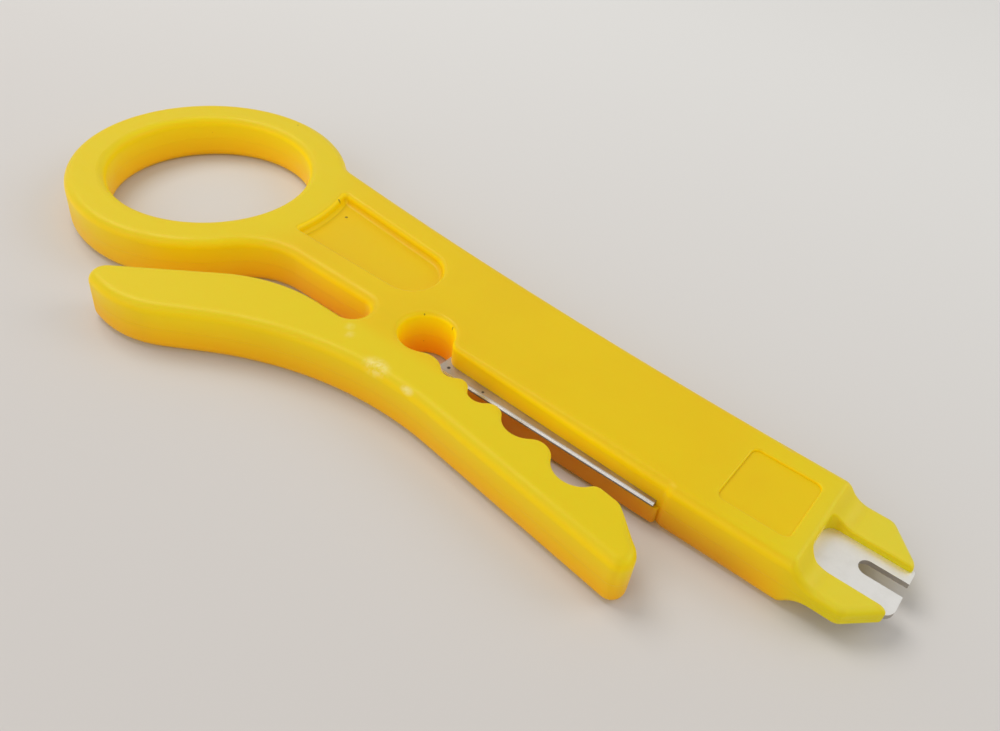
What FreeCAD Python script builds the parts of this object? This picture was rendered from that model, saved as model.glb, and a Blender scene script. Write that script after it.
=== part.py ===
import FreeCAD, Part
import math
import os

os.makedirs("parts", exist_ok=True)

# Punch down tool and cable stripper, a flat plastic moulding with two steel blades.
# Millimetres.  Origin: centre of the finger ring, half way through the thickness.
# +X runs from the ring to the nose, +Y towards the plain back edge, +Z up.
# The squeeze lever is on the -Y side.

# ---- overall sizes of the moulding ----
THICKNESS = 5.0            # the whole moulding, flat top to flat bottom
EDGE_ROUND = 0.95          # rounding of the outer rims
KEYHOLE_ROUND = 0.5        # smaller rounding at the keyhole and where the lip starts
JAW_ROUND = 0.35           # smallest rounding, along the notched jaw

# ---- finger ring ----
RING_HOLE_R = 10.75
RING_WALL = 4.13
RING_OUTER_R = RING_HOLE_R + RING_WALL
RING_BACK_BLEND = 3.0      # hollow where the ring runs into the back edge
RING_SLOT_BLEND = 7.0      # hollow where the ring runs into the lever slot

# ---- shank ----
BACK_RISE = 3.55           # how much wider the shank is at the ring than at the nose
BACK_HOLLOW = 0.77         # how far the back edge bows in between its ends
BACK_START_X = 16.0
BACK_END_LENGTH = 7.3      # the bow ends this far from the tips of the prongs
BACK_Y = 6.75              # back edge at the nose
FRONT_Y = -5.0             # front edge of the head, between jaw and nose
LIP_START = (39.2, -4.13)  # the shank's edge above the stripping blade, by the keyhole
LIP_END = (61.4, -4.75)
LIP_CORNER_R = 1.4         # lip turning into the keyhole
LIP_STEP = 0.45            # length of the small step from the lip out to the head
LIP_STEP_IN_R = 0.5
LIP_STEP_OUT_R = 1.1

# ---- slot that frees the lever, and the keyhole at the root of the jaw ----
SLOT_TOP_Y = -4.55
SLOT_WIDTH = 3.3
SLOT_END_X = 29.75
KEYHOLE = (35.6, -4.25)
KEYHOLE_R = 2.6
KEYHOLE_ROUND_REACH = 5.5  # how far from its centre the smaller rounding goes
NECK_Y = (-6.3, -4.9)      # where the springy neck starts and ends

# ---- squeeze lever ----
LEVER_OPEN = 7.1           # degrees the lever stands open from the blade, as moulded
JAW_BACK = (42.0, -11.55)  # a point on the lever's outer edge behind the jaw
JAW_TIP = (63.45, -13.2)   # a point on the blunt end of the jaw
JAW_TIP_ANGLE = 95.0
JAW_TIP_R = 1.2
JAW_CHIN = (63.1, -11.6)   # where the jaw's end starts to slope back to the notches
JAW_CHIN_ANGLE = 142.0
JAW_CHIN_R = 2.2
JAW_BROW_R = 1.3           # chin slope turning into the line of the teeth
TAIL_BACK = (20.5, -16.5)  # a point on the outer edge of the tail
TAIL_BACK_ANGLE = 34.0
TAIL_BACK_BLEND = 32.8     # hollow between the tail and the jaw's outer edge
TAIL_FRONT = (16.0, -11.2) # a point on the edge of the tail that faces the ring
TAIL_FRONT_ANGLE = 40.0
TAIL_FRONT_BLEND = 15.0    # slot turning into the tail
TAIL_END = (10.6, -20.9)   # a point on the end of the tail
TAIL_END_ANGLE = -9.0
TAIL_TIP_R = 1.55
TAIL_HEEL_R = 10.0         # end of the tail turning into its outer edge

# ---- notches along the jaw: place along X, radius, depth below the jaw line ----
JAW_LINE = (38.3, -6.2)    # a point on the line that the tips of the teeth touch
NOTCHES = ((55.0, 2.3, 1.79), (48.95, 2.15, 1.32), (44.2, 1.4, 1.07), (40.55, 1.3, 0.8))
FIRST_TOOTH_R = 0.95
JAW_ROUND_X = (39.1, 61.3) # where the jaw has its smaller rounding

# ---- recesses moulded into both flats ----
GRIP_RECESS_DEPTH = 1.05
GRIP_RIM_ROUND = 0.5
GRIP_FLOOR_ROUND = 0.5
GRIP_RING_GAP = 4.2        # land left between the finger hole and the recess
GRIP_BACK = (22.0, 6.62)   # a point on the recess's side along the back edge
GRIP_BACK_ANGLE = -6.0
GRIP_BOTTOM_Y = -1.75
GRIP_END_X = 31.7
GRIP_END_LOW_R = 3.3       # corner of the recess towards the keyhole
GRIP_END_HIGH_R = 4.2      # corner of the recess towards the back edge
GRIP_RING_CORNER_R = 0.8
LABEL_DEPTH = 0.25         # shallow square pad by the nose, left bare
LABEL_STEP_GAP = 1.15      # land left between the pad and the nose's step
LABEL_LENGTH = 6.6
LABEL_Y = (-3.05, 4.44)
LABEL_CORNER_R = 0.85
LABEL_RIM_ROUND = 0.18

# ---- nose ----
NOSE_X = 79.8              # ends of the two prongs
PRONG_THICKNESS = 1.9
PRONG_ROUND = 0.6
PRONG_TAPER = 2.8          # length over which the prongs taper
PRONG_BREAK_R = 1.0
PRONG_FRONT_ANGLE = 45.0
PRONG_BACK_ANGLE = 132.0
PRONG_FRONT_TIP_R = 1.0
PRONG_BACK_TIP_R = 1.0
PRONG_LENGTH = 7.35        # from the edge of the thick body
STEP_RUN = 1.45            # length of the slope down to the prongs
STEP_EDGE_R = 0.6
STEP_FOOT_R = 2.2
WINDOW_LENGTH = 7.05       # opening between the prongs that bares the blade
WINDOW_Y = (-2.2, 2.95)
WINDOW_CORNER_R = 1.0
WINDOW_ROUND = 0.2         # inner edges of the prongs

# ---- blades ----
BLADE_T = 0.5
ANCHOR_R = 0.9             # holes in the blades that the plastic flows through
STRIP_SHOWS = 0.3          # how far the blade's end stands into the keyhole
STRIP_END_GAP = 0.35       # from the blade's other end to the end of the lip
STRIP_EDGE_Y = -5.37       # cutting edge of the stripping blade
STRIP_BACK_Y = -0.9
STRIP_BEVEL = 0.3
STRIP_ANCHORS = (0.25, 0.75)   # hole places, as parts of the blade's length
STRIP_ANCHOR_INSET = 1.3
LEDGE_Y = -5.2             # plastic that backs the blade from below
LEDGE_START_GAP = 1.4      # from the keyhole to the ledge
LEDGE_PAST_LIP = 0.05
LEDGE_LIFT = 0.3           # ledge underside above the bottom flat
LEDGE_ROUND = 0.35
PUNCH_PROUD = 0.25         # how far the blade stands out past the prongs
PUNCH_Y = (-2.6, 3.35)
PUNCH_FRONT_CORNER_R = 1.3
PUNCH_BACK_CORNER_R = 0.3
PUNCH_HOLD = 2.25          # full width of the blade buried behind the opening
PUNCH_TANG_LENGTH = 9.0    # narrow tang behind that
PUNCH_TANG_Y = (-1.3, 2.4)
PUNCH_ANCHORS = (2.5, 6.5) # hole places, from the end of the tang
PUNCH_SLOT_Y = (0.22, 1.77)
PUNCH_SLOT_LENGTH = 3.85

# ---- places that follow from the sizes above ----
PRONG_BREAK_X = NOSE_X - PRONG_TAPER
STEP_X = NOSE_X - PRONG_LENGTH
BACK_END_X = NOSE_X - BACK_END_LENGTH
WINDOW_X = NOSE_X - WINDOW_LENGTH
PUNCH_TIP_X = NOSE_X + PUNCH_PROUD
PUNCH_SLOT_X = PUNCH_TIP_X - PUNCH_SLOT_LENGTH
PUNCH_SHOULDER_X = WINDOW_X - PUNCH_HOLD
PUNCH_TANG_X = PUNCH_SHOULDER_X - PUNCH_TANG_LENGTH
LABEL_X = (STEP_X - LABEL_STEP_GAP - LABEL_LENGTH, STEP_X - LABEL_STEP_GAP)
KEYHOLE_END_X = KEYHOLE[0] + KEYHOLE_R
STRIP_X = (KEYHOLE_END_X - STRIP_SHOWS, LIP_END[0] - STRIP_END_GAP)
LEDGE_X = (KEYHOLE_END_X + LEDGE_START_GAP, LIP_END[0] + LEDGE_PAST_LIP)
HALF = THICKNESS / 2
CLEAR = 5.0                # how far the cutting tools run past the moulding
TINY = 1e-4
GENTLE_R = 100.0           # arcs flatter than this are drawn in short pieces
GENTLE_PIECE = 7.0


# ---------------------------------------------------------------- outline helpers
# A side is a line or an arc, walked with the plastic on its left.
# An arc turns +1 counter-clockwise or -1 clockwise.

def vec(x, y, z=0.0):
    return FreeCAD.Vector(x, y, z)


def heading(degrees):
    a = math.radians(degrees)
    return vec(math.cos(a), math.sin(a))


def left_of(d):
    return vec(-d.y, d.x)


def line(point, degrees):
    return ("line", vec(*point), heading(degrees))


def line_through(a, b):
    d = vec(*b) - vec(*a)
    return ("line", vec(*a), d.normalize())


def arc(centre, radius, turn):
    return ("arc", vec(*centre), radius, turn)


def moved_left(side, distance):
    if side[0] == "line":
        return ("line", side[1] + left_of(side[2]) * distance, side[2])
    return ("arc", side[1], side[2] - side[3] * distance, side[3])


def line_with_arc(straight, round_side):
    point, d = straight[1], straight[2]
    to_centre = round_side[1] - point
    along = to_centre.dot(d)
    foot = point + d * along
    off = (round_side[1] - foot).Length
    half_chord = math.sqrt(max(round_side[2] ** 2 - off ** 2, 0.0))
    return [foot - d * half_chord, foot + d * half_chord]


def meeting_points(a, b):
    if a[0] == "line" and b[0] == "line":
        across = left_of(b[2])
        t = (b[1] - a[1]).dot(across) / a[2].dot(across)
        return [a[1] + a[2] * t]
    if a[0] == "line":
        return line_with_arc(a, b)
    if b[0] == "line":
        return line_with_arc(b, a)
    between = b[1] - a[1]
    gap = between.Length
    along = (gap ** 2 + a[2] ** 2 - b[2] ** 2) / (2 * gap)
    rise = math.sqrt(max(a[2] ** 2 - along ** 2, 0.0))
    d = between * (1 / gap)
    foot = a[1] + d * along
    return [foot + left_of(d) * rise, foot - left_of(d) * rise]


def nearest(points, near):
    if len(points) == 1:
        return points[0]
    return min(points, key=lambda p: (p - vec(*near)).Length)


def touch(side, centre):
    if side[0] == "line":
        return side[1] + side[2] * (centre - side[1]).dot(side[2])
    return side[1] + (centre - side[1]).normalize() * side[2]


def arc_edge(centre, start, end, turn):
    a0 = math.atan2(start.y - centre.y, start.x - centre.x)
    a1 = math.atan2(end.y - centre.y, end.x - centre.x)
    sweep = (turn * (a1 - a0)) % (2 * math.pi)
    middle = a0 + turn * sweep / 2
    radius = (start - centre).Length
    top = centre + vec(math.cos(middle), math.sin(middle)) * radius
    return Part.Arc(start, top, end).toShape()


def arc_edges(centre, start, end, turn):
    """One arc, or a row of short ones where it is nearly straight."""
    spoke = start - centre
    pieces = 1
    if spoke.Length > GENTLE_R:
        pieces = math.ceil((end - start).Length / GENTLE_PIECE)
    a0 = math.atan2(spoke.y, spoke.x)
    sweep = (turn * (math.atan2(end.y - centre.y, end.x - centre.x) - a0)) % (2 * math.pi)
    between = [centre + heading(math.degrees(a0 + turn * sweep * i / pieces)) * spoke.Length
               for i in range(1, pieces)]
    stops = [start] + between + [end]
    return [arc_edge(centre, a, b, turn) for a, b in zip(stops, stops[1:])]


def outline(sides, corners):
    """Closed wire.  corners[i] joins side i to side i + 1: (bend, radius, near).

    near picks one of the two answers where a side is an arc.
    """
    joints = []
    for i, (bend, radius, near) in enumerate(corners):
        a = sides[i]
        b = sides[(i + 1) % len(sides)]
        if radius == 0:
            p = nearest(meeting_points(a, b), near)
            joints.append((p, p, None, bend))
            continue
        shift = bend * radius
        c = nearest(meeting_points(moved_left(a, shift), moved_left(b, shift)), near)
        joints.append((touch(a, c), touch(b, c), c, bend))
    edges = []
    for i, side in enumerate(sides):
        start = joints[i - 1][1]
        end, after, c, bend = joints[i]
        if side[0] == "line":
            edges.append(Part.LineSegment(start, end).toShape())
        else:
            edges += arc_edges(side[1], start, end, side[3])
        if c is not None:
            edges.append(arc_edge(c, end, after, bend))
    return Part.Wire(edges)


# ---------------------------------------------------------------- the moulding
def back_arc():
    """The long hollow back edge, from the ring to the nose."""
    run = (BACK_END_X - BACK_START_X) / 2
    radius = (run ** 2 + BACK_HOLLOW ** 2) / (2 * BACK_HOLLOW)
    chord = vec(BACK_START_X - BACK_END_X, BACK_RISE).normalize()
    middle = vec((BACK_START_X + BACK_END_X) / 2, BACK_Y + BACK_RISE / 2)
    sag = middle + left_of(chord) * BACK_HOLLOW
    centre = sag - left_of(chord) * radius
    return arc((centre.x, centre.y), radius, -1)


def jaw_y(x):
    """Height of the line that the tips of the jaw's teeth lie on."""
    return JAW_LINE[1] - (x - JAW_LINE[0]) * math.tan(math.radians(LEVER_OPEN))


def notch_centre(notch):
    x, radius, depth = notch
    return (x, jaw_y(x) - depth + radius)


def ring_to_slot():
    """The ring's outside, then the slot between the shank and the lever."""
    slot_bottom_y = SLOT_TOP_Y - SLOT_WIDTH
    end_x = SLOT_END_X - SLOT_WIDTH / 2
    end = arc((end_x, SLOT_TOP_Y - SLOT_WIDTH / 2), SLOT_WIDTH / 2, -1)
    sides = [arc((0, 0), RING_OUTER_R, 1), line((0, SLOT_TOP_Y), 0), end,
             line((0, slot_bottom_y), 180)]
    corners = [(-1, RING_SLOT_BLEND, (RING_OUTER_R, SLOT_TOP_Y - RING_SLOT_BLEND)),
               (-1, 0, (end_x, SLOT_TOP_Y)),
               (-1, 0, (end_x, slot_bottom_y)),
               (1, TAIL_FRONT_BLEND, None)]
    return sides, corners


def chin_radius():
    """The chin's rounding, limited by the straight that the tip's rounding leaves."""
    blunt_end = line(JAW_TIP, JAW_TIP_ANGLE)
    low = meeting_points(line(JAW_BACK, -LEVER_OPEN), blunt_end)[0]
    high = meeting_points(blunt_end, line(JAW_CHIN, JAW_CHIN_ANGLE))[0]
    tip_takes = JAW_TIP_R * math.tan(math.radians(JAW_TIP_ANGLE + LEVER_OPEN) / 2)
    chin_share = math.tan(math.radians(JAW_CHIN_ANGLE - JAW_TIP_ANGLE) / 2)
    return min(JAW_CHIN_R, ((high - low).Length - tip_takes) / chin_share - TINY)


def lever_outside():
    """Round the tail and along the outer edge to the tip of the jaw."""
    sides = [line(TAIL_FRONT, 180 + TAIL_FRONT_ANGLE),
             line(TAIL_END, TAIL_END_ANGLE),
             line(TAIL_BACK, TAIL_BACK_ANGLE),
             line(JAW_BACK, -LEVER_OPEN),
             line(JAW_TIP, JAW_TIP_ANGLE),
             line(JAW_CHIN, JAW_CHIN_ANGLE)]
    corners = [(1, TAIL_TIP_R, None),
               (1, TAIL_HEEL_R, None),
               (-1, TAIL_BACK_BLEND, None),
               (1, JAW_TIP_R, None),
               (1, chin_radius(), None),
               (1, JAW_BROW_R, None)]
    return sides, corners


def tooth_between(first, second):
    """Corner between two hollows, as wide as lets its top just touch the jaw line."""
    apart = (second[1] - first[1]).Length
    low = max((apart - first[2] - second[2]) / 2, 0) + TINY
    high = low + apart
    for _ in range(50):
        radius = (low + high) / 2
        meets = meeting_points(moved_left(first, radius), moved_left(second, radius))
        centre = min(meets, key=lambda p: p.y)
        below_line = (jaw_y(centre.x) - centre.y) * math.cos(math.radians(LEVER_OPEN))
        if below_line < radius:
            low = radius
        else:
            high = radius
    return (1, radius, (centre.x, centre.y))


def jaw_and_keyhole():
    """The line of teeth, notch by notch, then the keyhole at its root."""
    hollows = [arc(notch_centre(notch), notch[1], -1) for notch in NOTCHES]
    hollows.append(arc(KEYHOLE, KEYHOLE_R, -1))
    sides = [line(JAW_LINE, 180 - LEVER_OPEN)] + hollows
    first_x = NOTCHES[0][0] + NOTCHES[0][1]
    corners = [(1, FIRST_TOOTH_R, (first_x, jaw_y(first_x) - FIRST_TOOTH_R))]
    for first, second in zip(hollows, hollows[1:]):
        corners.append(tooth_between(first, second))
    corners.append((1, LIP_CORNER_R, (LIP_START[0], LIP_START[1] + LIP_CORNER_R)))
    return sides, corners


def head_and_back():
    """The lip above the blade, the nose, and the back edge home to the ring."""
    step_end = (LIP_END[0] + LIP_STEP, FRONT_Y)
    ring_end_y = BACK_Y + BACK_RISE
    ring_end_x = math.sqrt(RING_OUTER_R ** 2 - ring_end_y ** 2)
    sides = [line_through(LIP_START, LIP_END),
             line_through(LIP_END, step_end),
             line((0, FRONT_Y), 0),
             line((PRONG_BREAK_X, FRONT_Y), PRONG_FRONT_ANGLE),
             line((NOSE_X, 0), 90),
             line((PRONG_BREAK_X, BACK_Y), PRONG_BACK_ANGLE),
             back_arc()]
    corners = [(-1, LIP_STEP_IN_R, None),
               (1, LIP_STEP_OUT_R, None),
               (1, PRONG_BREAK_R, None),
               (1, PRONG_FRONT_TIP_R, None),
               (1, PRONG_BACK_TIP_R, None),
               (1, PRONG_BREAK_R, (PRONG_BREAK_X, BACK_Y - PRONG_BREAK_R)),
               (-1, RING_BACK_BLEND, (ring_end_x + RING_BACK_BLEND, ring_end_y + RING_BACK_BLEND))]
    return sides, corners


def moulding_outline():
    sides = []
    corners = []
    for run in (ring_to_slot(), lever_outside(), jaw_and_keyhole(), head_and_back()):
        sides += run[0]
        corners += run[1]
    return outline(sides, corners)


def rim_radius(point):
    """Rounding of the rim at one of its corners: least at the teeth, full on the outside."""
    x0, x1 = JAW_ROUND_X
    among_teeth = jaw_y(point.x) - NOTCHES[0][1] < point.y < STRIP_EDGE_Y
    if among_teeth and x0 < point.x < x1:
        return JAW_ROUND
    from_keyhole = (vec(point.x, point.y) - vec(*KEYHOLE)).Length
    return KEYHOLE_ROUND if from_keyhole < KEYHOLE_ROUND_REACH else EDGE_ROUND


def round_rims(solid):
    """Rounds both rims, easing from one radius to the other along an edge."""
    document = FreeCAD.newDocument()
    base = document.addObject("Part::Feature", "Base")
    base.Shape = solid
    rounded = document.addObject("Part::Fillet", "Rounded")
    rounded.Base = base
    picks = []
    for number, edge in enumerate(solid.Edges, 1):
        start = edge.valueAt(edge.FirstParameter)
        end = edge.valueAt(edge.LastParameter)
        if abs(start.z - end.z) < TINY:
            picks.append((number, rim_radius(start), rim_radius(end)))
    rounded.Edges = picks
    document.recompute()
    return rounded.Shape.Solids[0]


def both_sides(shape):
    return [shape, shape.mirror(vec(0, 0), vec(0, 0, 1))]


def level_edges(shape, z):
    """Edges that lie flat at one height."""
    return [e for e in shape.Edges
            if abs(e.BoundBox.ZMin - z) < TINY and abs(e.BoundBox.ZMax - z) < TINY]


def prism(wire, z0, z1):
    face = Part.Face(wire)
    face.translate(vec(0, 0, z0))
    return face.extrude(vec(0, 0, z1 - z0))


def sunk_panel(rim_sides, rim_corners, depth, rim_round):
    """Tool for a recess whose rim is rounded later; the rim sides are its outer bounds."""
    walls = [moved_left(side, rim_round) for side in rim_sides]
    corners = [(bend, radius - rim_round, near) for bend, radius, near in rim_corners]
    return prism(outline(walls, corners), HALF - depth, HALF + CLEAR)


def grip_recess():
    """The sunk panel between the ring and the lever's neck."""
    land_r = RING_HOLE_R + GRIP_RING_GAP
    sides = [line((0, GRIP_BOTTOM_Y), 0), line((GRIP_END_X, 0), 90),
             line(GRIP_BACK, 180 + GRIP_BACK_ANGLE), arc((0, 0), land_r, -1)]
    corners = [(1, GRIP_END_LOW_R, None),
               (1, GRIP_END_HIGH_R, None),
               (1, GRIP_RING_CORNER_R, (land_r, GRIP_BACK[1])),
               (1, GRIP_RING_CORNER_R, (land_r, GRIP_BOTTOM_Y))]
    tool = sunk_panel(sides, corners, GRIP_RECESS_DEPTH, GRIP_RIM_ROUND)
    return tool.makeFillet(GRIP_FLOOR_ROUND, level_edges(tool, HALF - GRIP_RECESS_DEPTH))


def label_recess():
    """The shallow square pad near the nose."""
    (x0, x1), (y0, y1) = LABEL_X, LABEL_Y
    sides = [line((0, y0), 0), line((x1, 0), 90), line((0, y1), 180), line((x0, 0), -90)]
    return sunk_panel(sides, [(1, LABEL_CORNER_R, None)] * 4, LABEL_DEPTH, LABEL_RIM_ROUND)


def panel_rims(body, tool):
    """The body's rim edges round one recess, on both flats."""
    box = tool.BoundBox
    box.enlarge(TINY)

    def around(edge):
        e = edge.BoundBox
        return box.XMin < e.XMin and e.XMax < box.XMax and box.YMin < e.YMin and e.YMax < box.YMax

    return [e for z in (HALF, -HALF) for e in level_edges(body, z) if around(e)]


def nose_step():
    """Tool that thins the nose down to the two prongs, drawn in profile."""
    low = PRONG_THICKNESS / 2
    high = HALF + CLEAR
    far = NOSE_X + CLEAR
    near_x = STEP_X - CLEAR
    drop = math.degrees(math.atan2(HALF - low, STEP_RUN))
    sides = [line((0, HALF), 0), line((STEP_X, HALF), -drop), line((0, low), 0),
             line((far, 0), 90), line((0, high), 180), line((near_x, 0), -90)]
    corners = [(-1, STEP_EDGE_R, None), (1, STEP_FOOT_R, None), (1, 0, None),
               (1, 0, None), (1, 0, None), (1, 0, None)]
    profile = outline(sides, corners)
    profile.rotate(vec(0, 0), vec(1, 0), 90)
    profile.translate(vec(0, RING_OUTER_R))
    return Part.Face(profile).extrude(vec(0, -2 * RING_OUTER_R))


def prong_rims(body):
    """Edges of the prongs' flats, without the seams where the step's foot ends."""
    rims = []
    for z in (PRONG_THICKNESS / 2, -PRONG_THICKNESS / 2):
        for edge in level_edges(body, z):
            box = edge.BoundBox
            is_seam = box.XLength < TINY and box.XMax < NOSE_X - TINY
            if box.XMin > STEP_X and not is_seam:
                rims.append(edge)
    return rims


def window_rims(body):
    """The prongs' long inner edges."""
    inner = WINDOW_Y
    return [e for e in prong_rims(body) if e.BoundBox.YLength < TINY
            and inner[0] - TINY < e.BoundBox.YMin < inner[1] + TINY]


def nose_window():
    y0, y1 = WINDOW_Y
    sides = [line((0, y0), 0), line((NOSE_X + CLEAR, 0), 90), line((0, y1), 180),
             line((WINDOW_X, 0), -90)]
    corners = [(1, 0, None), (1, 0, None), (1, WINDOW_CORNER_R, None), (1, WINDOW_CORNER_R, None)]
    return prism(outline(sides, corners), -THICKNESS, THICKNESS)


def ledge():
    """Plastic that backs the stripping blade from below."""
    x0, x1 = LEDGE_X
    z0 = -HALF + LEDGE_LIFT
    depth = FRONT_Y - LEDGE_Y + EDGE_ROUND * 2
    block = Part.makeBox(x1 - x0, depth, -BLADE_T / 2 - z0, vec(x0, LEDGE_Y, z0))
    bare = []
    for edge in block.Edges:
        box = edge.BoundBox
        at_front = box.YMin < LEDGE_Y + TINY
        upright = box.ZLength > TINY
        underneath = box.ZMax < z0 + TINY
        if at_front and (upright or underneath):
            bare.append(edge)
    return block.makeFillet(LEDGE_ROUND, bare)


# ---------------------------------------------------------------- the two blades
def anchor_holes(places):
    return [Part.makeCylinder(ANCHOR_R, BLADE_T * 2, vec(x, y, -BLADE_T)) for x, y in places]


def stripping_blade():
    x0, x1 = STRIP_X
    length = x1 - x0
    half = BLADE_T / 2
    bevel_y = STRIP_EDGE_Y + STRIP_BEVEL
    section = [vec(x0, STRIP_EDGE_Y, 0), vec(x0, bevel_y, half), vec(x0, STRIP_BACK_Y, half),
               vec(x0, STRIP_BACK_Y, -half), vec(x0, bevel_y, -half)]
    blade = Part.Face(Part.makePolygon(section + section[:1])).extrude(vec(length, 0))
    row_y = STRIP_BACK_Y - STRIP_ANCHOR_INSET
    return blade.cut(anchor_holes([(x0 + length * part, row_y) for part in STRIP_ANCHORS]))


def punchdown_blade():
    y0, y1 = PUNCH_Y
    tang_y0, tang_y1 = PUNCH_TANG_Y
    shoulder_x = PUNCH_SHOULDER_X
    sides = [line((0, tang_y0), 0), line((shoulder_x, 0), -90), line((0, y0), 0),
             line((PUNCH_TIP_X, 0), 90), line((0, y1), 180), line((shoulder_x, 0), -90),
             line((0, tang_y1), 180), line((PUNCH_TANG_X, 0), -90)]
    square = (1, 0, None)
    corners = [square, square, (1, PUNCH_FRONT_CORNER_R, None), (1, PUNCH_BACK_CORNER_R, None),
               square, square, square, square]
    plate = prism(outline(sides, corners), -BLADE_T / 2, BLADE_T / 2)

    slot_y0, slot_y1 = PUNCH_SLOT_Y
    slot_r = (slot_y1 - slot_y0) / 2
    end_x = PUNCH_SLOT_X + slot_r
    slot = Part.makeBox(PUNCH_TIP_X - end_x + CLEAR, slot_r * 2, BLADE_T * 2,
                        vec(end_x, slot_y0, -BLADE_T))
    slot_end = Part.makeCylinder(slot_r, BLADE_T * 2, vec(end_x, slot_y0 + slot_r, -BLADE_T))
    row_y = (tang_y0 + tang_y1) / 2
    holes = anchor_holes([(PUNCH_TANG_X + x, row_y) for x in PUNCH_ANCHORS])
    return plate.cut([slot, slot_end] + holes)


# ---------------------------------------------------------------- assembly
def moulding():
    body = prism(moulding_outline(), -HALF, HALF)
    hole = Part.makeCylinder(RING_HOLE_R, THICKNESS, vec(0, 0, -HALF))
    body = round_rims(body.cut(hole).Solids[0])
    grip = grip_recess()
    label = label_recess()
    body = body.cut(both_sides(grip) + both_sides(label)).Solids[0]
    body = body.makeFillet(GRIP_RIM_ROUND, panel_rims(body, grip))
    body = body.makeFillet(LABEL_RIM_ROUND, panel_rims(body, label))
    body = body.cut(both_sides(nose_step())).Solids[0]
    body = body.makeFillet(PRONG_ROUND, prong_rims(body))
    body = body.cut(nose_window()).Solids[0]
    body = body.makeFillet(WINDOW_ROUND, window_rims(body))
    return body.fuse(ledge()).removeSplitter()


def neck_box():
    """The stretch between the slot's end and the keyhole."""
    x0 = SLOT_END_X - SLOT_WIDTH / 2
    return Part.makeBox(KEYHOLE[0] - x0, NECK_Y[1] - NECK_Y[0], THICKNESS * 2,
                        vec(x0, NECK_Y[0], -THICKNESS))


def save(name, shape):
    if len(shape.Solids) != 1 or not shape.isValid():
        raise ValueError(name + " is not one sound solid")
    shape.Solids[0].exportStep("parts/" + name + ".step")
    print(name, "volume", round(shape.Volume, 1), "box", shape.BoundBox)


def main():
    body = moulding()
    strip = stripping_blade()
    punch = punchdown_blade()
    neck = body.common(neck_box())
    rest = body.cut([neck_box(), strip, punch])
    lever, handle = sorted(rest.Solids, key=lambda s: s.Volume)[-2:]
    save("handle", handle)
    save("lever_arm", lever)
    save("flexure_neck", neck)
    save("stripping_blade", strip)
    save("punchdown_blade", punch)


main()
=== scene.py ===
# %% [markdown]
# # A cable stripper and punch down tool in yellow plastic
#
# The real tool is one flat plastic moulding with two steel blades set into it. A finger
# ring, a shank and a squeeze lever are all the same piece of plastic, and the lever bends
# on a thin neck. The measured model of it is already here as a fixed frame. This lesson
# keeps that model's exact shapes, remakes the one piece that has to bend, and spends its
# effort on what the measured model lacks: plastic and steel that look real.

import bmesh
import bpy
from mathutils import Matrix, Vector


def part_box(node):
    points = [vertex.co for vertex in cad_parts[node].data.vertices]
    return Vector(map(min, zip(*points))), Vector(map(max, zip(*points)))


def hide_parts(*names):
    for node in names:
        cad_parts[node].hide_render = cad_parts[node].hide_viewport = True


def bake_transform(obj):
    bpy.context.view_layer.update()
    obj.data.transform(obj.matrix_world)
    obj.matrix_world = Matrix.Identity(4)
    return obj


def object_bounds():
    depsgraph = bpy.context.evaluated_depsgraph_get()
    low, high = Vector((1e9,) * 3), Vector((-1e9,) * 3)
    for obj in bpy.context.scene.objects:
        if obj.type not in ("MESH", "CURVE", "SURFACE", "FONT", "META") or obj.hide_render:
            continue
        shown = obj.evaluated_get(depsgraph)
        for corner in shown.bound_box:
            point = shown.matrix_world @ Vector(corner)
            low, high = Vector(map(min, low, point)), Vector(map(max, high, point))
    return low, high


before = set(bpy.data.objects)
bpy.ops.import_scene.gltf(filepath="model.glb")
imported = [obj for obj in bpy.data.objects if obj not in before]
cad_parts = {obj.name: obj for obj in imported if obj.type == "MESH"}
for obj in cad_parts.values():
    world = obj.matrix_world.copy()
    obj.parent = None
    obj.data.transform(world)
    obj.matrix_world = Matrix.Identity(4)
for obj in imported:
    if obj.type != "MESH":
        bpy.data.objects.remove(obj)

cad_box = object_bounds()
print("measured model:", [[round(c, 4) for c in corner] for corner in cad_box])

# %% [markdown]
# ## Where the eye stands
#
# Everything is in metres: the tool is 95 mm long, so the camera stands only about a hand's
# width from its middle, above the jaw side and to the right. A camera is easiest to place
# from three directions: what is to its right, what is up, and what lies behind it.
# Together they are the columns of its rotation. The near clipping distance has to shrink
# with the scene, or a close camera cuts the object open.

# %% The camera
TO_THE_RIGHT = Vector((0.78188, 0.61335, 0.11166))
UPWARDS = Vector((-0.47575, 0.47126, 0.74268))
BACKWARDS = Vector((0.40291, -0.63381, 0.66027))
EYE = Vector((0.075282, -0.053529, 0.055018))
SENSOR_WIDTH = 36
FOCAL_LENGTH = 32.4
NEAREST_SEEN = 0.005

lens = bpy.data.cameras.new("camera")
lens.sensor_width = SENSOR_WIDTH
lens.lens = FOCAL_LENGTH
lens.clip_start = NEAREST_SEEN
camera = bpy.data.objects.new("camera", lens)
camera.matrix_world = (Matrix.Translation(EYE)
                       @ Matrix((TO_THE_RIGHT, UPWARDS, BACKWARDS)).transposed().to_4x4())
bpy.context.scene.collection.objects.link(camera)
bpy.context.scene.camera = camera
bpy.context.scene.view_settings.view_transform = "Standard"
print("camera at", [round(c, 3) for c in EYE], "lens", FOCAL_LENGTH, "mm")

# %% [markdown]
# ## Shader sums as plain Python
#
# A material is a net of small nodes. Wiring each one by hand hides the idea, so one little
# class holds a value that runs through the net. Adding or multiplying two of them adds the
# Math node. Any other node comes from `node`: its kind, its settings, then what goes into
# its sockets. `fade` is the workhorse: 0 at one limit, 1 at the other, and a smooth change
# between. `near` is a fade too, by the distance from a point.


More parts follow.
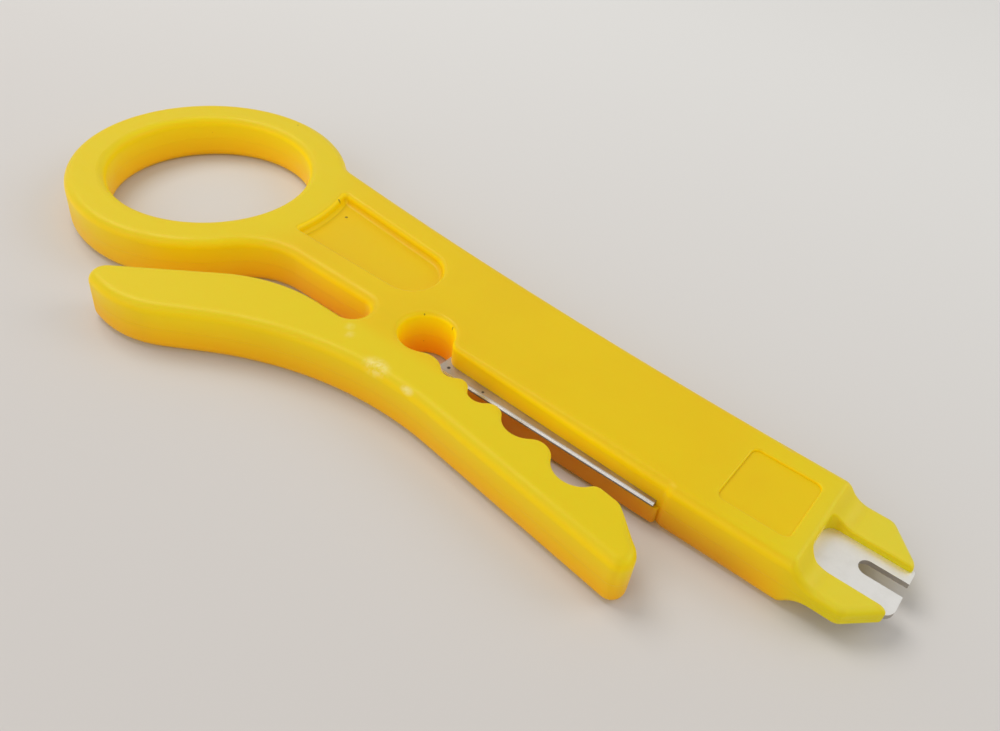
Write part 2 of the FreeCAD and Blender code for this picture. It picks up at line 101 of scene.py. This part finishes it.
# %% The class that carries a value
class Wire:
    """A value on its way through a material's net."""

    def __init__(self, tree, socket=None):
        self.tree = tree
        self.socket = socket

    def node(self, kind, settings, sockets, output=0):
        made = self.tree.nodes.new(kind)
        for name, value in settings.items():
            setattr(made, name, value)
        for name, value in sockets.items():
            if isinstance(value, Wire):
                self.tree.links.new(value.socket, made.inputs[name])
            else:
                made.inputs[name].default_value = value
        return Wire(self.tree, made.outputs[output])

    def math(self, operation, *values):
        return self.node("ShaderNodeMath", {"operation": operation}, dict(enumerate(values)))

    def __add__(self, other):
        return self.math("ADD", self, other)

    def __sub__(self, other):
        return self.math("SUBTRACT", self, other)

    def __rsub__(self, other):
        return self.math("SUBTRACT", other, self)

    def __mul__(self, other):
        return self.math("MULTIPLY", self, other)

    def __abs__(self):
        return self.math("ABSOLUTE", self)

    __radd__ = __add__

    def larger(self, other):
        return self.math("MAXIMUM", self, other)

    def fade(self, at_zero, at_one):
        """0 at the first limit and before it, 1 at the second and past it."""
        return self.node("ShaderNodeMapRange", {"interpolation_type": "SMOOTHSTEP"},
                         {"Value": self, "From Min": at_zero, "From Max": at_one})

    def tint(self, plain, full):
        """The first colour where the value is 0, the second where it is 1."""
        return self.node("ShaderNodeMix", {"data_type": "RGBA"},
                         {0: self, 6: plain, 7: full}, output=2)

    def moved(self, offset=(0, 0, 0), stretch=(1, 1, 1)):
        """A place, seen from another origin and stretched."""
        away = self.node("ShaderNodeVectorMath", {"operation": "SUBTRACT"},
                         {0: self, 1: offset})
        return away.node("ShaderNodeVectorMath", {"operation": "MULTIPLY"},
                         {0: away, 1: stretch})

    def near(self, centre, stretch, limits):
        """A fade by distance. An axis stretched by 0 isn't counted."""
        away = self.moved(centre, stretch)
        distance = away.node("ShaderNodeVectorMath", {"operation": "LENGTH"},
                             {0: away}, "Value")
        return distance.fade(*limits)

    def noise(self, scale, detail=2.0, roughness=0.5):
        """Soft grey clouds, 0 to 1, with blobs about 1 / scale millimetres wide."""
        return self.node("ShaderNodeTexNoise", {},
                         {"Vector": self, "Scale": scale, "Detail": detail,
                          "Roughness": roughness}, "Fac")

    def scatter(self, scale):
        """Random points about 1 / scale millimetres apart: 0 at each, growing around it."""
        return self.node("ShaderNodeTexVoronoi", {}, {"Vector": self, "Scale": scale},
                         "Distance")

    def bump(self, strength, metres):
        """A height that tilts the light but moves nothing."""
        return self.node("ShaderNodeBump", {},
                         {"Height": self, "Strength": strength, "Distance": metres}, "Normal")


print("sockets can now be added, multiplied and faded")

# %% [markdown]
# ## A material to fill in
#
# Each finish starts the same way: an empty material, its main shader, the place on the
# object in millimetres and the direction that the surface faces. Place and direction come
# from the object itself, so a pattern stays on the plastic when the lever moves.


# %% Starting a finish
MILLIMETRES = 1000.0


def begin(name):
    """An empty finish: its material and shader, then place and facing."""
    material = bpy.data.materials.new(name)
    material.use_nodes = True
    tree = material.node_tree
    shader = tree.nodes["Principled BSDF"]
    blank = Wire(tree)
    metres = blank.node("ShaderNodeTexCoord", {}, {}, "Object")
    place = metres.node("ShaderNodeVectorMath", {"operation": "SCALE"},
                        {0: metres, "Scale": MILLIMETRES})
    facing = blank.node("ShaderNodeTexCoord", {}, {}, "Normal")
    return material, shader, place, facing


def axes(vector):
    """The x, y and z of a place or a direction."""
    return [vector.node("ShaderNodeSeparateXYZ", {}, {0: vector}, axis) for axis in "XYZ"]


def finish_with(shader, **looks):
    """Puts numbers on the shader's own sockets and plugs the changing values in."""
    for name, value in looks.items():
        socket = shader.inputs[name.replace("_", " ")]
        if isinstance(value, Wire):
            value.tree.links.new(value.socket, socket)
        else:
            socket.default_value = value


print("each finish works in millimetres")

# %% [markdown]
# ## The yellow plastic: its flats
#
# Polypropylene is a little cloudy: light goes in, wanders, and comes out deeper in colour.
# So one plastic shows many yellows. The ring, the lever and the prongs are thin and let light
# through, which makes them lemon, and so does the land round the square pad. The floor of the
# recess beside the ring is a little deeper, which is painted shade. Each part is a mask, and
# each mask is a fade, so that no part ends in a line.

# %% Yellow on the flats
CLEAR_YELLOW = (0.78, 0.535, 0.002, 1)
SHADE_YELLOW = (0.77, 0.510, 0.002, 1)
SUNK_SHADE_YELLOW = (0.77, 0.505, 0.001, 1)
LEMON = (0.755, 0.575, 0.008, 1)
PRONG_LEMON = (0.73, 0.60, 0.03, 1)
LEMON_SHARE = 0.85
IN_PLAN = (1, 1, 0)
RING_CENTRE = (0, 0, 0)
# Limits for fades, in millimetres: where the mask is 0, then where it is 1.
RING_REACH = (19, 13)
LEVER_FROM = (-6.8, -8.6)
PRONGS_FROM = (70, 76)
LAND_FROM = (61, 71)
TOP_FLAT = (2.3, 2.45)
SUNK_SHADE_LEVELS = (2.3, 1.9)

yellow, yellow_shader, place, facing = begin("moulded_yellow")
x, y, z = axes(place)
in_ring = place.near(RING_CENTRE, IN_PLAN, RING_REACH)
in_prongs = x.fade(*PRONGS_FROM)
thin = in_ring.larger(y.fade(*LEVER_FROM))
on_land = x.fade(*LAND_FROM) * abs(z).fade(*TOP_FLAT)

clouds = place.noise(0.09, 3.0)
flat_tone = clouds.fade(0.35, 0.65).tint(CLEAR_YELLOW, SHADE_YELLOW)
flat_tone = (thin.larger(on_land) * LEMON_SHARE).tint(flat_tone, LEMON)
# painted shade: flats sunk below the top, the recess floor among them, are a deeper yellow
flat_tone = abs(z).fade(*SUNK_SHADE_LEVELS).tint(flat_tone, SUNK_SHADE_YELLOW)
flat_tone = in_prongs.tint(flat_tone, PRONG_LEMON)
print("lemon where the plastic is thin: ring, lever, prongs")

# %% [markdown]
# ## The yellow plastic: its walls
# Walls carry painted shade: they lean to orange, as shaded plastic looks, more so towards the
# table, where its shade falls, and most of all on the thick shank, where they are painted
# darker. The prongs are too thin for that. How upright a surface is comes from its facing:
# the upward part of the facing is 1 on a flat and 0 on a wall. The sides of the recess beside
# the ring are nearly all rounding, so they have a rule of their own. The slopes that face the
# nose take the wall colour, which is painted light that lifts them out of their shade. The
# crease at the foot of every side gets a deeper gold as painted shade. The sides of the
# recess beside the
# ring are nearly all rounding, so they have a rule of their own.

# %% Yellow on the walls, with painted shade
WALL_HIGH = (0.92, 0.62, 0.002, 1)
WALL_LOW_SHADE = (0.95, 0.46, 0.002, 1)
THIN_WALL_LOW_SHADE = (0.93, 0.52, 0.004, 1)
SHANK_WALL_LOW_SHADE = (0.74, 0.31, 0.006, 1)
PRONG_WALL = (0.74, 0.575, 0.004, 1)
CREASE_SHADE_GOLD = (0.80, 0.47, 0.001, 1)
TOP_TO_TABLE = (2.4, -2.5)
SHANK_FROM, SHANK_TO = (50, 60), (73, 67)
RECESS_FROM, RECESS_TO = (12.5, 13.5), (33, 32)
RECESS_MIDDLE_Y = 2.3
RECESS_HALF_WIDTH = (4.8, 4.5)
RECESS_FOOT = (1.98, 1.8)
# Limits for how much of the facing points up, or to the nose.
FLAT_TO_UPRIGHT = (0.95, 0.3)
FLAT_TO_LEANING = (0.98, 0.85)
SLIGHTLY_TO_NOSE = (0.0, 0.25)

facing_nose, _, facing_up = axes(facing)
shade_to_table = z.fade(*TOP_TO_TABLE)
in_recess = (x.fade(*RECESS_FROM) * x.fade(*RECESS_TO)
             * abs(y - RECESS_MIDDLE_Y).fade(*RECESS_HALF_WIDTH))
recess_side = in_recess * abs(facing_up).fade(*FLAT_TO_LEANING)
recess_crease_shade = recess_side * abs(z).fade(*RECESS_FOOT)
by_ring = facing_nose.fade(*SLIGHTLY_TO_NOSE)
# painted light: recess slopes that face the nose count as walls, so they take the wall colour
# and glow in place of their shade
upright = abs(facing_up).fade(*FLAT_TO_UPRIGHT).larger(recess_side * by_ring)

in_shank = x.fade(*SHANK_FROM) * x.fade(*SHANK_TO) * (1 - thin)
high_tone = in_prongs.tint(WALL_HIGH, PRONG_WALL)
shaded_low_tone = in_shank.tint(WALL_LOW_SHADE, SHANK_WALL_LOW_SHADE)
shaded_low_tone = in_prongs.tint(in_ring.tint(shaded_low_tone, THIN_WALL_LOW_SHADE), PRONG_WALL)
# painted shade: walls turn oranger towards the table, and darker on the shank
shaded_wall_tone = upright.tint(flat_tone, shade_to_table.tint(high_tone, shaded_low_tone))
# painted shade: a deeper gold in the crease at the foot of the recess sides
shaded_wall_tone = recess_crease_shade.tint(shaded_wall_tone, CREASE_SHADE_GOLD)
print("walls deepen from", TOP_TO_TABLE[0], "to", TOP_TO_TABLE[1], "mm")

# %% [markdown]
# ## The yellow plastic: its hollows
#
# Light that gets into a hollow bounces from plastic to plastic, so the keyhole and the jaw
# are the colour of honey, and the slot a little. The ledge under the stripping blade is
# the deepest tone of all, because the blade keeps the light off it.

# %% Honey in the hollows
HONEY = (0.95, 0.32, 0.001, 1)
LEDGE_BROWN = (0.58, 0.235, 0.003, 1)
SLOT_HONEY_SHARE = 0.25
# Each hollow: its middle, how distance counts along x, y and z, and its limits.
KEYHOLE = ((35.6, -4.25, 0), IN_PLAN, (3.6, 2.4))
SLOT = ((22.5, -6.6, 0), (0.12, 0.5, 0), (1.2, 0.7))
JAW = ((50, -6.0, 0), (0.08, 0.5, 0), (1.15, 0.6))
FINGER_HOLE = (RING_CENTRE, IN_PLAN, (11.4, 10.8))
LEDGE_LEVEL = (-0.15, -0.3)
LEDGE_FRONT = (-7.0, -6.4)

in_keyhole = place.near(*KEYHOLE)
in_slot = place.near(*SLOT)
in_jaw = place.near(*JAW)
in_finger_hole = place.near(*FINGER_HOLE)
on_ledge = in_jaw * z.fade(*LEDGE_LEVEL) * y.fade(*LEDGE_FRONT)
honey = upright * shade_to_table * in_keyhole.larger(in_slot * SLOT_HONEY_SHARE).larger(in_jaw)
deep_tone = on_ledge.tint(honey.tint(shaded_wall_tone, HONEY), LEDGE_BROWN)
print("hollows: keyhole, slot, jaw, finger hole")

# %% [markdown]
# ## The yellow plastic: light that comes through
#
# Light that enters the top comes out of the walls, so each wall sends out a little of its
# own, most in the hollows. Walls that face the nose would be in shade and get a share too.
# The ledge and the foot of the thick shank get none. A little comes out under the lower
# rims and warms the table.

# %% A small glow
UNLIT = (0, 0, 0, 1)
GLOW_HIGH = (0.17, 0.17, 0, 1)
GLOW_LOW = (0.14, 0.05, 0, 1)
UNDER_GLOW = (0.15, 0.075, 0.005, 1)
WALL_SHARE, HOLLOW_SHARE = 0.3, 0.7
FINGER_HOLE_SHARE = 0.5
NOSE_WALL_SHARE = 0.55
WELL_TO_NOSE = (0.15, 0.65)
# The lower rims lean well down, but the underside, which is quite flat, is left out.
LEANS_DOWN = (-0.65, -0.85)
NOT_FLAT_DOWN = (-0.995, -0.95)

open_hollow = in_keyhole.larger(in_slot).larger(in_jaw)
open_hollow = open_hollow.larger(in_finger_hole * FINGER_HOLE_SHARE)
lit_through = upright * (WALL_SHARE + open_hollow * HOLLOW_SHARE)
lit_through = lit_through.larger(facing_nose.fade(*WELL_TO_NOSE) * NOSE_WALL_SHARE)
lit_through = lit_through.larger(recess_crease_shade * by_ring)
lit_through = lit_through * (1 - on_ledge) * (1 - in_shank * shade_to_table)
lower_rim = facing_up.fade(*LEANS_DOWN) * facing_up.fade(*NOT_FLAT_DOWN)
glow = (shade_to_table * (1 - in_prongs)).tint(GLOW_HIGH, GLOW_LOW)
glow = lower_rim.tint(lit_through.tint(UNLIT, glow), UNDER_GLOW)
print("strongest glow:", max(GLOW_HIGH[:3]))

# %% [markdown]
# ## What use has done to it
#
# Bent polypropylene turns white where it has been strained. This lever has two pale
# blotches along its outer rim, just past its neck, and a faint streak nearer the neck.
# Each is a mask by distance, broken up by noise. Moulded parts also carry specks of burnt
# plastic: a few stand at chosen places, and random points scatter a few more.

# %% Strain marks and specks
STRAIN_WHITE = (0.90, 0.79, 0.36, 1)
BURNT = (0.10, 0.05, 0.01, 1)
BURNT_SHARE = 0.8
# Each strain mark: its middle, how distance counts along x, y and z, its size and how
# white it is.
STRAINS = (((35.6, -10.75, 2.4), (0.8, 1.3, 1), 1.5, 0.7),
           ((39.4, -11.1, 2.3), (0.7, 1.3, 1), 0.65, 0.7),
           ((30.3, -8.7, 2.5), (1.1, 1.1, 1), 0.8, 0.25),
           ((31.1, -9.5, 2.5), (1.1, 1.1, 1), 0.8, 0.25))
# Each speck: its middle and its size. It is drawn out in height.
SPECKS = (((14.28, 5.64, 2.3), 0.2), ((16.17, 4.82, 1.45), 0.22),
          ((36.68, -1.92, 2.3), 0.16), ((33.67, -2.36, 2.4), 0.1))
TALL = (1, 1, 0.3)

ragged = place.noise(1.6, 3.0, 0.6)
strained = None
for centre, stretch, size, whiteness in STRAINS:
    blotch = place.near(centre, stretch, (size, 0.0)) * whiteness
    strained = blotch if strained is None else strained.larger(blotch)
strained = strained * ragged.fade(0.3, 0.62)
pale_tone = strained.tint(deep_tone, STRAIN_WHITE)

speck = place.scatter(0.17).fade(0.022, 0.014)
for centre, size in SPECKS:
    speck = speck.larger(place.near(centre, TALL, (size, size / 2)))
skin_tone = (speck * BURNT_SHARE).tint(pale_tone, BURNT)
print("strain marks:", len(STRAINS), "and specks:", len(SPECKS))

# %% [markdown]
# ## The skin of the moulding
#
# An even gloss gives a computer's plastic away, so this one has smears along the tool,
# and it is duller where the plastic is strained. The skin has a very fine ripple, and
# where the two halves of the mould met there is a thin raised line half way up each wall.
# All of it is height fed to one Bump node, because none of it is large enough to need
# geometry. Under the skin, light wanders a fraction of a millimetre, red furthest.

# %% Gloss, ripple and the line where the mould closed
RIPPLE = 0.35
SEAM_EDGES = (0.09, 0.02)
SEAM_WANDER = 0.12
SKIN_STRENGTH = 0.25
SKIN_HEIGHT = 0.0001
DULLNESS = 0.36
SMEARED = 0.14
WHITENED = 0.15
ALONG_TOOL = (0.25, 1.0, 1.0)

ripple = place.noise(1.1, 3.0, 0.55) * RIPPLE
seam_level = z + (place.noise(0.5) - 0.5) * SEAM_WANDER
seam = abs(seam_level).fade(*SEAM_EDGES) * upright
smears = place.moved(stretch=ALONG_TOOL).noise(0.6, 4.0, 0.6)
dullness = DULLNESS + smears.fade(0.3, 0.75) * SMEARED + strained * WHITENED

finish_with(yellow_shader, Base_Color=skin_tone, Roughness=dullness,
            Normal=(ripple + seam).bump(SKIN_STRENGTH, SKIN_HEIGHT),
            Emission_Color=glow, Emission_Strength=1.0, Specular_IOR_Level=0.35,
            Specular_Tint=(1, 0.88, 0.45, 1), Subsurface_Weight=0.3,
            Subsurface_Radius=(1.0, 0.45, 0.08), Subsurface_Scale=0.0006)
print("yellow plastic has", len(yellow.node_tree.nodes), "nodes")

# %% [markdown]
# ## The stripping blade
#
# A strip of tool steel, rolled, then ground to an edge. The roll leaves fine streaks along
# its length, and the ground bevel is brighter than the strip, with a dark burr along the
# edge itself. Bevel and burr are found by how far across the blade a point lies, so the
# same maths works on both of its sides. Two rust spots have chosen places.

# %% Ground steel
ROLLED_GREY = (0.52, 0.49, 0.46, 1)
ROLLED_BROWN = (0.40, 0.35, 0.30, 1)
GROUND_BRIGHT = (0.60, 0.57, 0.53, 1)
BURR_DARK = (0.12, 0.09, 0.07, 1)
STEEL_SPOT = (0.05, 0.045, 0.04, 1)
SPOT_SHARE = 0.9
BEVEL_FROM = (-5.11, -5.17)
BURR_FROM = (-5.27, -5.32)
STRIP_DULLNESS = 0.34
STREAKED, GROUND, RUSTED = 0.12, 0.14, 0.3
RUST_SPOTS = (((38.73, -4.56, 0.25), 0.22), ((42.98, -4.87, 0.25), 0.17))
EVERY_WAY = (1, 1, 1)
ALONG_BLADE = (0.25, 14.0, 14.0)

ground_steel, ground_shader, place, _ = begin("ground_steel")
y = axes(place)[1]
streaks = place.moved(stretch=ALONG_BLADE).noise(1.0, 3.0, 0.7)
tarnish = place.noise(0.35, 3.0, 0.6)
bevel = y.fade(*BEVEL_FROM)
burr = y.fade(*BURR_FROM)
spotted = place.scatter(0.42).fade(0.085, 0.05) * (1 - bevel) * tarnish.fade(0.5, 0.6)
for centre, size in RUST_SPOTS:
    spotted = spotted.larger(place.near(centre, EVERY_WAY, (size, size / 2)))

strip_tone = (tarnish * 0.6 + streaks * 0.4).fade(0.35, 0.65).tint(ROLLED_GREY, ROLLED_BROWN)
strip_tone = burr.tint(bevel.tint(strip_tone, GROUND_BRIGHT), BURR_DARK)
strip_tone = (spotted * SPOT_SHARE).tint(strip_tone, STEEL_SPOT)
dullness = STRIP_DULLNESS + streaks * STREAKED - bevel * GROUND + spotted * RUSTED
finish_with(ground_shader, Base_Color=strip_tone, Metallic=1.0, Roughness=dullness,
            Normal=streaks.bump(0.12, 0.00005))
print("bevel begins", BEVEL_FROM[0], "mm across")

# %% [markdown]
# ## The punch-down blade
#
# This one is stamped from sheet and tumbled until it is almost white and quite matt. The
# stamped edges, and the walls of its slot, are rougher than its faces. They are also darker,
# partly as duller sheared steel and partly as painted shade on the slot walls.

# %% Tumbled steel
TUMBLED = (0.92, 0.90, 0.865, 1)
TUMBLED_DULL = (0.86, 0.84, 0.80, 1)
SHEARED_AND_SHADED = (0.50, 0.46, 0.41, 1)
DIRT_SHARE = 0.7
FACE_TO_EDGE = (0.8, 0.3)
NOSE_DULLNESS = 0.44
WORN, STAMPED, DIRTY = 0.1, 0.15, 0.2

tumbled_steel, tumbled_shader, place, facing = begin("tumbled_steel")
pits = place.noise(9.0, 3.0, 0.6)
wear = place.noise(0.6, 4.0, 0.6)
# partly real sheared steel, partly painted shade: faces that don't face up or down are darker
sheared_and_shaded_edge = abs(axes(facing)[2]).fade(*FACE_TO_EDGE)
dirt = place.scatter(0.3).fade(0.05, 0.03) * wear.fade(0.45, 0.6)

nose_tone = wear.fade(0.35, 0.7).tint(TUMBLED, TUMBLED_DULL)
nose_tone = sheared_and_shaded_edge.tint(nose_tone, SHEARED_AND_SHADED)
nose_tone = (dirt * DIRT_SHARE).tint(nose_tone, STEEL_SPOT)
dullness = NOSE_DULLNESS + wear * WORN + sheared_and_shaded_edge * STAMPED + dirt * DIRTY
finish_with(tumbled_shader, Base_Color=nose_tone, Metallic=1.0, Roughness=dullness,
            Normal=pits.bump(0.2, 0.00003))
print("steel finishes:", ground_steel.name, tumbled_steel.name)

# %% [markdown]
# ## Dressing the measured pieces
#
# Handle, lever and blades already have their exact shape, so they only change material.
# The slots on each mesh stay, and what sits in them is swapped.

# %% New finishes in the old slots
FINISHES = {"handle": yellow, "lever_arm": yellow,
            "stripping_blade": ground_steel, "punchdown_blade": tumbled_steel}

for name, material in FINISHES.items():
    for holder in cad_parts[name].material_slots:
        holder.material = material
    print(name, "is now", material.name)

# %% [markdown]
# ## The neck that bends
#
# The neck is the bridge of plastic between the slot and the keyhole. The measured one is
# rigid, and a rigid bridge would tear away from the lever when it moves. Bending needs rows
# of points across the bridge, so a copy of it is welded, because measured meshes are loose
# triangles, and then cut by a row of planes. Weighted normals keep the flats flat beside
# their rounded rims.

# %% A neck with enough rows to bend
NECK_ROWS = 14
WELD = 1e-7
SHARP_TURN = 0.5

neck_low, neck_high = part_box("flexure_neck")
bm = bmesh.new()
bm.from_mesh(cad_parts["flexure_neck"].data)
bmesh.ops.remove_doubles(bm, verts=bm.verts, dist=WELD)
for row in range(1, NECK_ROWS):
    level = neck_low[1] + (neck_high[1] - neck_low[1]) * row / NECK_ROWS
    everything = bm.verts[:] + bm.edges[:] + bm.faces[:]
    bmesh.ops.bisect_plane(bm, geom=everything, dist=WELD, plane_co=(0, level, 0),
                           plane_no=(0, 1, 0))
bmesh.ops.triangulate(bm, faces=bm.faces)
for edge in bm.edges:
    edge.smooth = edge.calc_face_angle(0) < SHARP_TURN
for face in bm.faces:
    face.smooth = True

neck_mesh = bpy.data.meshes.new("bending_neck")
bm.to_mesh(neck_mesh)
bm.free()
neck = bpy.data.objects.new("bending_neck", neck_mesh)
bpy.context.scene.collection.objects.link(neck)
neck_mesh.materials.clear()
neck_mesh.materials.append(yellow)
flats = neck.modifiers.new("flats", "WEIGHTED_NORMAL")
flats.keep_sharp = True
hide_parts("flexure_neck")
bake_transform(neck)
print("neck:", len(neck_mesh.polygons), "faces in", NECK_ROWS, "rows")

# %% [markdown]
# ## The table it lies on
#
# A plain pale surface touches the underside of the tool, a little darker on the near side. It
# isn't part of the object. It reaches far past what the camera sees, and only a look from low
# down finds its end.

# %% A plain pale floor
FLOOR_HALF = 1.5
FLOOR_NEAR_SHADE = (0.62, 0.585, 0.555, 1)
FLOOR_FAR = (0.735, 0.72, 0.695, 1)
NEAR_TO_FAR = (-60, 110)

bm = bmesh.new()
bmesh.ops.create_grid(bm, x_segments=1, y_segments=1, size=FLOOR_HALF)
bmesh.ops.translate(bm, verts=bm.verts, vec=(0, 0, cad_box[0][2]))
floor_mesh = bpy.data.meshes.new("floor")
bm.to_mesh(floor_mesh)
bm.free()
floor = bpy.data.objects.new("floor", floor_mesh)
bpy.context.scene.collection.objects.link(floor)
paper, paper_shader, place, _ = begin("pale_floor")
# painted shade: the floor is darker on the near side
paper_tone_with_shade = axes(place)[1].fade(*NEAR_TO_FAR).tint(FLOOR_NEAR_SHADE, FLOOR_FAR)
finish_with(paper_shader, Base_Color=paper_tone_with_shade, Roughness=0.9, Specular_IOR_Level=0.2)
floor_mesh.materials.append(paper)
print("floor at", round(cad_box[0][2] * MILLIMETRES, 2), "mm")

# %% [markdown]
# ## Soft light from above
#
# The sky gives most of the light, so that every colour renders about as it is written.
# A soft panel high on the left adds pale bands along the rounded rims: a rim shows the
# panel where it leans half way between the eye and the light. A wider one fills the walls,
# and a weak one behind catches the step at the nose and the far sides of the hollows.

# %% Sky and three soft panels
SKY = 0.535
SKY_TINT = (0.98, 0.99, 1.0, 1)
PANEL_TINT = (1.0, 0.985, 0.96)
AIM = Vector((0.035, 0, 0))
# Each panel: where it hangs and how wide it is, in metres, and its power in watts.
PANELS = {"high_left": (Vector((-0.23, 0.0, 0.42)), 0.28, 1.0),
          "front_fill": (Vector((-0.08, -0.42, 0.26)), 0.35, 0.5),
          "back_right": (Vector((0.32, 0.28, 0.29)), 0.25, 0.36)}

sky = bpy.data.worlds.new("sky")
sky.use_nodes = True
sky.node_tree.nodes["Background"].inputs["Color"].default_value = SKY_TINT
sky.node_tree.nodes["Background"].inputs["Strength"].default_value = SKY
bpy.context.scene.world = sky

for name, (spot, width, power) in PANELS.items():
    lamp = bpy.data.lights.new(name, "AREA")
    lamp.size = width
    lamp.energy = power
    lamp.color = PANEL_TINT
    panel = bpy.data.objects.new(name, lamp)
    panel.location = spot
    panel.rotation_euler = (spot - AIM).to_track_quat("Z", "Y").to_euler()
    bpy.context.scene.collection.objects.link(panel)
    print(name, "is", round((spot - AIM).length, 2), "m from the tool")
